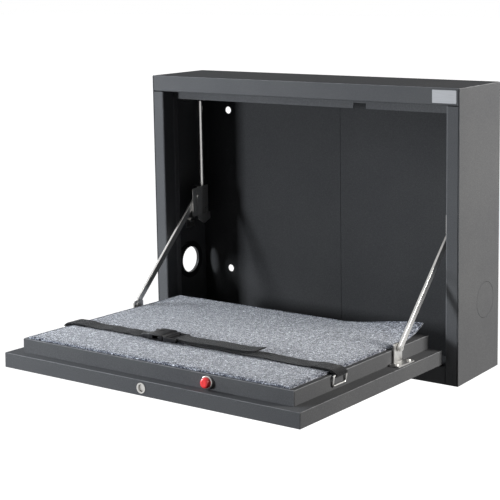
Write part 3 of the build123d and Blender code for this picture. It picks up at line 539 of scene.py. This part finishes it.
def felt_mat(name, node, curl=0.0):
    """A mat with a matted surface, a softly cut edge that wanders a little, and one corner that
    may curl."""
    (x_low, reach_low, bottom), (x_high, reach_high, top) = door_span(node)
    thickness = top - bottom
    columns = round((x_high - x_low) / felt_grid)
    rows = round((reach_high - reach_low) / felt_grid)

    def rise(x, reach):
        """How far the rear right corner has lifted off the tray."""
        away = max(0.0, 1 - (reach - reach_low) / curl_length)
        across = smooth_step(1 - (x_high - x) / curl_width)
        return curl * away**2 * across

    def wander(along, seed):
        """The cut edge's drift from a straight line, inwards only."""
        slow = noise.noise(Vector((along * felt_slow_wander_scale, seed, 0)))
        quick = noise.noise(Vector((along * felt_quick_wander_scale, seed, 5)))
        steady_part, slow_part, quick_part = felt_wander_parts
        return felt_edge_wander * (steady_part + slow_part * slow + quick_part * quick)

    def grid_point(column, row):
        """A grid point's place, drawn in where the edge wanders."""
        share_x, share_reach = column / columns, row / rows
        x = x_low + (x_high - x_low) * share_x
        reach = reach_low + (reach_high - reach_low) * share_reach
        left, right = wander(reach, 1), wander(reach, 2)
        rear, front = wander(x, 3), wander(x, 4)
        x += left * fade(share_x, felt_side_fade) - right * fade(1 - share_x, felt_side_fade)
        reach += rear * fade(share_reach, felt_end_fade)
        reach -= front * fade(1 - share_reach, felt_end_fade)
        return x, reach

    def matting(x, reach):
        """The top's departure from flat: nap, slow waves, and the edge pressed down."""
        nap = noise.noise(Vector((x * felt_nap_scale, reach * felt_nap_scale, 0)))
        wave = noise.noise(Vector((x * felt_wave_scale, reach * felt_wave_scale, 9)))
        inside = min(x - x_low, x_high - x, reach - reach_low, reach_high - reach)
        pressed = felt_pressed_depth * (1 - smooth_step(inside / felt_pressed_width))
        return felt_nap * nap + felt_wave * (wave - felt_sink) - pressed

    rim = [(column, 0) for column in range(columns)]
    rim += [(columns, row) for row in range(rows)]
    rim += [(column, rows) for column in range(columns, 0, -1)]
    rim += [(0, row) for row in range(rows, 0, -1)]
    whole = [(column, row) for row in range(rows + 1) for column in range(columns + 1)]
    top_layer = len(felt_edge_shape) - 1
    points, faces, index = [], [], {}
    for layer, (height, round_share) in enumerate(felt_edge_shape):
        inset = felt_edge_round * round_share
        places = whole if layer in (0, top_layer) else rim
        for column, row in places:
            x, reach = grid_point(column, row)
            if column in (0, columns):
                x += inset if column == 0 else -inset
            if row in (0, rows):
                reach += inset if row == 0 else -inset
            lift = bottom + thickness * height + rise(x, reach)
            if layer == top_layer:
                lift += matting(x, reach)
            index[layer, column, row] = len(points)
            points.append((x, -reach, lift))
    for row in range(rows):
        for column in range(columns):
            corners = (column, row), (column + 1, row), (column + 1, row + 1), (column, row + 1)
            faces.append([index[0, c, r] for c, r in corners])
            faces.append([index[top_layer, c, r] for c, r in reversed(corners)])
    for layer in range(top_layer):
        for here, after in zip(rim, rim[1:] + rim[:1]):
            low = [index[layer, *after], index[layer, *here]]
            high = [index[layer + 1, *here], index[layer + 1, *after]]
            faces.append(low + high)
    mesh = bpy.data.meshes.new(name)
    mesh.from_pydata(points, [], faces)
    piece = dress(name, mesh, "felt", [node])


felt_mat("rear_felt_mat", "rear_felt", curl_height)
felt_mat("front_felt_mat", "front_felt")


# Webbing
def smooth_path(knots, step):
    """Evenly spaced points on a curve through the knots, and the curve's length."""
    curve = bpy.data.curves.new("path", "CURVE")
    curve.dimensions = "3D"
    spline = curve.splines.new("BEZIER")
    spline.bezier_points.add(len(knots) - 1)
    for bezier_point, knot in zip(spline.bezier_points, knots):
        bezier_point.co = knot
        bezier_point.handle_left_type = "AUTO"
        bezier_point.handle_right_type = "AUTO"
    spline.resolution_u = path_resolution
    helper = bpy.data.objects.new("path", curve)
    bpy.context.scene.collection.objects.link(helper)
    mesh = bpy.data.meshes.new_from_object(helper)
    fine = [vertex.co.copy() for vertex in mesh.vertices]
    bpy.data.objects.remove(helper)
    bpy.data.curves.remove(curve)
    bpy.data.meshes.remove(mesh)
    lengths = [0.0]
    for before, after in zip(fine, fine[1:]):
        lengths.append(lengths[-1] + (after - before).length)
    count = max(2, round(lengths[-1] / step))
    even, segment = [], 0
    for number in range(count + 1):
        target = lengths[-1] * number / count
        while segment < len(fine) - 2 and lengths[segment + 1] < target:
            segment += 1
        span = lengths[segment + 1] - lengths[segment]
        share = (target - lengths[segment]) / span if span else 0.0
        even.append(fine[segment].lerp(fine[segment + 1], min(share, 1.0)))
    return even, lengths[-1]


def band_section(half_width):
    """The band's cross-section as (across, up) points, with rounded selvedges, all round."""
    core = half_width - webbing_selvedge
    flats = [core * share for share in (-1, -0.66, -0.33, 0, 0.33, 0.66, 1)]
    turns = [pi / 2 - pi * number / selvedge_facets for number in range(1, selvedge_facets)]
    upper = [(across, webbing_half_thickness) for across in flats]
    right = [
        (core + webbing_selvedge * cos(turn), webbing_half_thickness * sin(turn))
        for turn in turns
    ]
    lower = [(across, -webbing_half_thickness) for across in reversed(flats)]
    left = [(-across, -up) for across, up in right]
    return upper + right + lower + left


def tube_faces(base, rings, sides):
    """Faces round a tube of rings of points, with both ends closed."""
    faces = []
    for ring in range(rings - 1):
        low, high = base + ring * sides, base + (ring + 1) * sides
        for corner in range(sides):
            following = (corner + 1) % sides
            faces.append([low + corner, low + following, high + following, high + corner])
    faces.append([base + corner for corner in reversed(range(sides))])
    faces.append([base + (rings - 1) * sides + corner for corner in range(sides)])
    return faces


def band_mesh(name, points, faces, places):
    """A mesh that keeps each point's place along and across the band for the weave."""
    mesh = bpy.data.meshes.new(name)
    mesh.from_pydata(points, [], faces)
    layer = mesh.uv_layers.new(name="band")
    for loop in mesh.loops:
        layer.data[loop.index].uv = places[loop.vertex_index]
    return mesh


def webbing_mesh(name, knots, width):
    """A woven band along a path through the knots, and its length."""
    path, length = smooth_path(knots, webbing_step)
    section = band_section(width / 2)
    points, places = [], []
    for number, here in enumerate(path):
        before, after = path[max(number - 1, 0)], path[min(number + 1, len(path) - 1)]
        tangent = (after - before).normalized()
        side = (to_front - tangent * to_front.dot(tangent)).normalized()
        up = side.cross(tangent)
        for across, height in section:
            points.append(here + side * across + up * height)
            places.append((length * number / (len(path) - 1), across))
    faces = tube_faces(0, len(path), len(section))
    return band_mesh(name, points, faces, places), length


felt_high = door_span("front_felt")[1]
tray_high = door_span("tray")[1]
ring_high = door_span("right_strap_ring")[1]
left_strap_high = door_span("left_strap")[1]
right_strap_low, right_strap_high = door_span("right_strap")
tail_low, tail_high = door_span("strap_tail")
socket_low, socket_high = door_span("buckle_socket")
tongue_low, tongue_high = door_span("buckle_tongue")

felt_edge = felt_high[0]
sewn_end = felt_edge - stitched_length
strap_width = right_strap_high[1] - right_strap_low[1]
strap_reach = (right_strap_high[1] + right_strap_low[1]) / 2
wire_wrap = wire_radius + wire_clearance + webbing_half_thickness
wire_x = ring_high[0] - wire_radius
wire_lift = ring_high[2] - wire_radius
wall_x = tray_high[0] + webbing_half_thickness + layer_gap
under_lift = felt_high[2] + webbing_half_thickness + layer_gap
over_lift = under_lift + 2 * webbing_half_thickness + layer_gap
slot_lift = (socket_low[2] + socket_high[2]) / 2 - strap_slot_drop


def strap_knots(side, buckle_x):
    """From the buckle over the felt, round the ring's top wire, and back under itself."""

    def knot(x, lift):
        return Vector((side * x, -strap_reach, lift))

    start = side * buckle_x
    run = sewn_end - ripple_margin - start
    knots = [knot(start, slot_lift), knot(start + buckle_lead, slot_lift - buckle_dip)]
    for share, slack in strap_ripples:
        knots.append(knot(start + run * share, under_lift + strap_slack * slack))
    knots += [
        knot(sewn_end - climb_start, under_lift + climb_rise),
        knot(sewn_end + climb_end, over_lift),
        knot(felt_edge - edge_run, over_lift),
        knot(felt_edge + edge_overhang, over_lift - edge_dip),
    ]
    for turn in wire_turns:
        angle = radians(turn)
        knots.append(knot(wire_x + wire_wrap * cos(angle), wire_lift + wire_wrap * sin(angle)))
    knots += [
        knot(wall_x, tray_high[2] - wall_dip),
        knot(wall_x - wall_lean, tray_high[2] + wall_rise),
        knot(felt_edge + return_overhang, under_lift - return_dip),
        knot(felt_edge - return_run, under_lift),
        knot(sewn_end + return_end, under_lift),
    ]
    return knots


for name, knots, node in (
    ("left_strap_webbing", strap_knots(-1, left_strap_high[0]), "left_strap"),
    ("right_strap_webbing", strap_knots(1, right_strap_low[0]), "right_strap"),
):
    mesh, length = webbing_mesh(name, knots, strap_width)
    strap = dress(name, mesh, "webbing", [node])

# The strap's loose end lies back on it beyond the buckle: x, share of the drift, and rise
tail_start, tail_end = tail_low[0], tail_high[0]
tail_lift = under_lift + 2 * webbing_half_thickness + strap_slack + tail_stand
tail_route = (
    (tail_start - 0.004, 0, 0.0016),
    (tail_start + 0.004, 0, 0.0006),
    (tail_start + 0.03, 0, 0.0004),
    (tail_start + 0.06, 0.2, 0.0012),
    (tail_end - tail_curl_length, 0.5, 0.0006),
    (tail_end - tail_curl_length / 2, 0.8, tail_curl * 0.35),
    (tail_end, 1, tail_curl),
)
tail_knots = [
    Vector((x, -strap_reach + tail_drift * drift, tail_lift + lift))
    for x, drift, lift in tail_route
]
mesh, length = webbing_mesh("strap_tail_webbing", tail_knots, strap_width)
tail = dress("strap_tail_webbing", mesh, "webbing", ["strap_tail"])


# Box stitching where each strap is sewn back on itself
def stitch_mesh(name, rows):
    """Sewing thread: a run of short stitches along each row from its start to its end."""
    points, faces = [], []
    for start, end in rows:
        run = end - start
        count = max(1, round(run.length / stitch_pitch))
        for number in range(count):
            first = start + run * ((number + stitch_gap) / count)
            last = start + run * ((number + 1 - stitch_gap) / count)
            tangent = (last - first).normalized()
            across = tangent.cross(Vector((0, 0, 1))).normalized()
            up = across.cross(tangent)
            faces += tube_faces(len(points), len(thread_shape), thread_sides)
            for share, size in thread_shape:
                sunk = Vector((0, 0, thread_radius * (size - 1) * thread_dip))
                centre = first.lerp(last, share) + sunk
                radius = thread_radius * size
                for corner in range(thread_sides):
                    turn = 2 * pi * corner / thread_sides
                    points.append(centre + across * radius * cos(turn) + up * radius * sin(turn))
    return band_mesh(name, points, faces, [(0.0, 0.0)] * len(points))


for side, name in ((-1, "left_strap_stitches"), (1, "right_strap_stitches")):
    inner, outer = sewn_end + stitch_inset, felt_edge - stitch_inset
    half = strap_width / 2 - stitch_margin
    stitch_lift = over_lift + webbing_half_thickness + layer_gap
    corners = [
        Vector((side * x, -strap_reach + across, stitch_lift))
        for x, across in ((inner, -half), (outer, -half), (outer, half), (inner, half))
    ]
    rows = list(zip(corners, corners[1:] + corners[:1]))
    rows += [(corners[0], corners[2]), (corners[1], corners[3])]
    dress(name, stitch_mesh(name, rows), "webbing")


# Buckle
def block(x, across, lift, bevel, segments=3):
    """A box in door coordinates between a low and a high along each axis, with rounded edges."""
    shape = bmesh.new()
    bmesh.ops.create_cube(shape, size=1.0)
    size = [high - low for low, high in (x, across, lift)]
    middle = [(high + low) / 2 for low, high in (x, across, lift)]
    bmesh.ops.scale(shape, vec=size, verts=shape.verts)
    bmesh.ops.translate(shape, vec=middle, verts=shape.verts)
    bmesh.ops.bevel(
        shape, geom=shape.edges[:], offset=bevel, segments=segments, profile=0.5, affect="EDGES"
    )
    return shape


def both_sides(near, far, outer, inner):
    """Where a piece lies across the buckle, set in from the near side and from the far side."""
    return (near + outer, near + inner), (far - inner, far - outer)


def as_object(name, shape):
    """A helper object from a bmesh."""
    mesh = bpy.data.meshes.new(name)
    shape.to_mesh(mesh)
    shape.free()
    made = bpy.data.objects.new(name, mesh)
    bpy.context.scene.collection.objects.link(made)
    return made


def combined(name, base, additions, cuts=()):
    """The base joined with the additions and opened by the cuts, as one clean mesh."""
    subject = as_object(name, base)
    for operation, shapes in (("UNION", additions), ("DIFFERENCE", cuts)):
        for shape in shapes:
            other = as_object("other", shape)
            modifier = subject.modifiers.new("change", "BOOLEAN")
            modifier.operation = operation
            modifier.solver = "EXACT"
            modifier.object = other
            bpy.context.view_layer.update()
            evaluated = subject.evaluated_get(bpy.context.evaluated_depsgraph_get())
            changed = bpy.data.meshes.new_from_object(evaluated)
            subject.modifiers.clear()
            subject.data = changed
            bpy.data.objects.remove(other)
    mesh = subject.data
    bpy.data.objects.remove(subject)
    return mesh


def buckle_socket(name):
    """The buckle's outer half: a domed shell with side windows, grip ribs and a strap bar."""
    low_x, high_x = socket_low[0], socket_high[0]
    near, far = -socket_high[1], -socket_low[1]
    bottom, top = socket_low[2], socket_high[2]
    shell_x = low_x + shell_start
    shell = block((shell_x - 0.001, high_x), (near, far), (bottom, top), shell_round, 4)
    arm, arm_lift = (low_x, shell_x + buckle_overlap), (bottom + 0.0008, top - 0.002)
    bar, bar_lift = (low_x, low_x + 0.0035), (bottom + 0.0012, bottom + 0.0052)
    additions = [
        block(arm, across, arm_lift, arm_round)
        for across in both_sides(near, far, bar_inset, arm_inner)
    ]
    additions.append(block(bar, (near + bar_inset, far - bar_inset), bar_lift, bar_round))
    rib_across = (near + grip_rib_inset, far - grip_rib_inset)
    rib_lift = (top - grip_rib_sunk, top + grip_rib_proud)
    for number in range(grip_rib_count):
        start = shell_x + grip_rib_start + number * grip_rib_spacing
        rib = (start, start + grip_rib_width)
        additions.append(block(rib, rib_across, rib_lift, grip_rib_round, 2))
    hollow = (bottom + shell_wall, top - shell_wall)
    window = (shell_x + 0.007, high_x - 0.0055)
    cuts = [
        block(window, across, hollow, window_round)
        for across in both_sides(near, far, -buckle_overlap, window_depth)
    ]
    mouth = (shell_x + mouth_wall, high_x + buckle_overlap)
    mouth_across = (near + mouth_wall, far - mouth_wall)
    cuts.append(block(mouth, mouth_across, hollow, mouth_round))
    return combined(name, shell, additions, cuts)


def buckle_tongue(name):
    """The inner half: two sprung prongs that show in the windows, and bars that grip the strap."""
    low_x, high_x = tongue_low[0], tongue_high[0]
    near, far = -tongue_high[1], -tongue_low[1]
    bottom, top = tongue_low[2], tongue_high[2]
    body_x = socket_high[0] + buckle_gap
    body_across = (near + body_inset, far - body_inset)
    body = block((body_x, body_x + body_length), body_across, (bottom, top), body_round, 4)
    rail, rail_lift = (body_x + 0.003, high_x), (bottom + 0.0006, top - 0.001)
    additions = [
        block(rail, across, rail_lift, rail_round)
        for across in both_sides(near, far, body_inset, rail_inner)
    ]
    bar_across = (near + bar_inset, far - bar_inset)
    end_bar, end_bar_lift = (high_x - 0.0036, high_x), (bottom + 0.0008, bottom + 0.0046)
    grip_bar, grip_bar_lift = (body_x + 0.0092, body_x + 0.0122), (bottom + 0.0014, bottom + 0.0056)
    additions += [
        block(end_bar, bar_across, end_bar_lift, bar_round),
        block(grip_bar, bar_across, grip_bar_lift, grip_bar_round),
    ]
    prong, prong_lift = (low_x + 0.001, low_x + 0.0075), (bottom + 0.0028, top - 0.0016)
    stem_end, stem_lift = body_x + buckle_overlap, (bottom + 0.003, top - 0.002)
    for across in both_sides(near, far, prong_outer, prong_inner):
        middle = sum(across) / 2
        stem_across = (middle - stem_half_width, middle + stem_half_width)
        additions += [
            block(prong, across, prong_lift, prong_round),
            block((low_x + 0.006, stem_end), stem_across, stem_lift, stem_round),
        ]
    guide_across = (-strap_reach - guide_half_width, -strap_reach + guide_half_width)
    additions.append(block((low_x + 0.003, stem_end), guide_across, stem_lift, guide_round))
    return combined(name, body, additions)


for maker, name, node in (
    (buckle_socket, "buckle_socket_shell", "buckle_socket"),
    (buckle_tongue, "buckle_tongue_frame", "buckle_tongue"),
):
    piece = dress(name, maker(name), "black_plastic", [node])
    piece.data.set_sharp_from_angle(angle=buckle_sharp_angle)


# Floor
def white_floor():
    """A floor that takes the shadow and is white when seen directly."""
    made, tree, shader = new_material("pale_floor", floor_color, 0.9)
    glow = tree.nodes.new("ShaderNodeEmission")
    glow.inputs["Color"].default_value = (1, 1, 1, 1)
    glow.inputs["Strength"].default_value = 1.0
    added = tree.nodes.new("ShaderNodeAddShader")
    chosen = tree.nodes.new("ShaderNodeMixShader")
    tree.links.new(shader.outputs["BSDF"], added.inputs[0])
    tree.links.new(glow.outputs["Emission"], added.inputs[1])
    tree.links.new(seen_directly(tree), chosen.inputs["Fac"])
    tree.links.new(shader.outputs["BSDF"], chosen.inputs[1])
    tree.links.new(added.outputs["Shader"], chosen.inputs[2])
    tree.links.new(chosen.outputs["Shader"], tree.nodes["Material Output"].inputs["Surface"])
    return made


half_floor = floor_size / 2
floor_corners = [
    (half_floor * x, half_floor * y, floor_height) for x, y in ((-1, -1), (1, -1), (1, 1), (-1, 1))
]
floor_mesh = bpy.data.meshes.new("floor")
floor_mesh.from_pydata(floor_corners, [], [(0, 1, 2, 3)])
floor_mesh.materials.append(white_floor())
floor = bpy.data.objects.new("floor", floor_mesh)
bpy.context.scene.collection.objects.link(floor)


# World: white when seen directly, and a low even light otherwise
world = bpy.data.worlds.new("studio")
bpy.context.scene.world = world
world.use_nodes = True
sky = world.node_tree
background = sky.nodes["Background"]
brightness = level(sky, seen_directly(sky), 0, 1, ambient, 1.0)
sky.links.new(brightness, background.inputs["Strength"])
background.inputs["Color"].default_value = (1, 1, 1, 1)


# Lamps
def soft_lamp(name, position, target, size, power, tint, shines):
    """A square area lamp aimed at a point; only one that shines shows in metal and gloss."""
    lamp = bpy.data.lights.new(name, "AREA")
    lamp.size = size
    lamp.energy = power
    lamp.color = tint
    made = bpy.data.objects.new(name, lamp)
    made.location = position
    made.rotation_euler = (target - position).to_track_quat("-Z", "Y").to_euler()
    made.visible_glossy = shines
    bpy.context.scene.collection.objects.link(made)


# The left lamps graze the front and light the felt, the front one reaches under the header,
# and the right one lights the cabinet's and the door's right sides. Angles are in degrees.
cool, neutral, warm = (0.9, 0.95, 1.0), (1, 1, 1), (1.0, 0.99, 0.96)
for name, target, azimuth, elevation, distance, size, power, tint, shines in (
    ("left", (0, -0.2, 0.05), -80, 10, 1.5, 0.6, 29, cool, True),
    ("upper left", (0, -0.2, 0.05), -50, 32, 1.5, 0.6, 5, cool, False),
    ("front", (0, -0.2, 0.1), -32, 4, 2.0, 0.3, 34, cool, False),
    ("right", (0.25, 0, 0.1), 102, 12, 1.1, 0.5, 23, warm, True),
    ("back", (0, -0.2, 0), 180, 6, 2.4, 1.4, 18, neutral, True),
):
    around, above = radians(azimuth), radians(elevation)
    away = Vector((sin(around) * cos(above), -cos(around) * cos(above), sin(above)))
    target = Vector(target)
    soft_lamp(name, target + away * distance, target, size, power, tint, shines)

# Camera
forward = Vector((
    -sin(camera_yaw) * cos(camera_pitch),
    cos(camera_yaw) * cos(camera_pitch),
    -sin(camera_pitch),
))
level_right = Vector((cos(camera_yaw), sin(camera_yaw), 0))
level_up = level_right.cross(forward)
right = level_right * cos(camera_roll) + level_up * sin(camera_roll)
up = level_up * cos(camera_roll) - level_right * sin(camera_roll)
camera_data = bpy.data.cameras.new("camera")
camera_data.lens = camera_lens
camera_data.shift_x, camera_data.shift_y = camera_shift
camera = bpy.data.objects.new("camera", camera_data)
camera_turn = Matrix((right, up, -forward)).transposed().to_4x4()
camera.matrix_world = Matrix.Translation(camera_place) @ camera_turn
bpy.context.scene.collection.objects.link(camera)
bpy.context.scene.camera = camera
bpy.context.scene.view_settings.view_transform = "Standard"
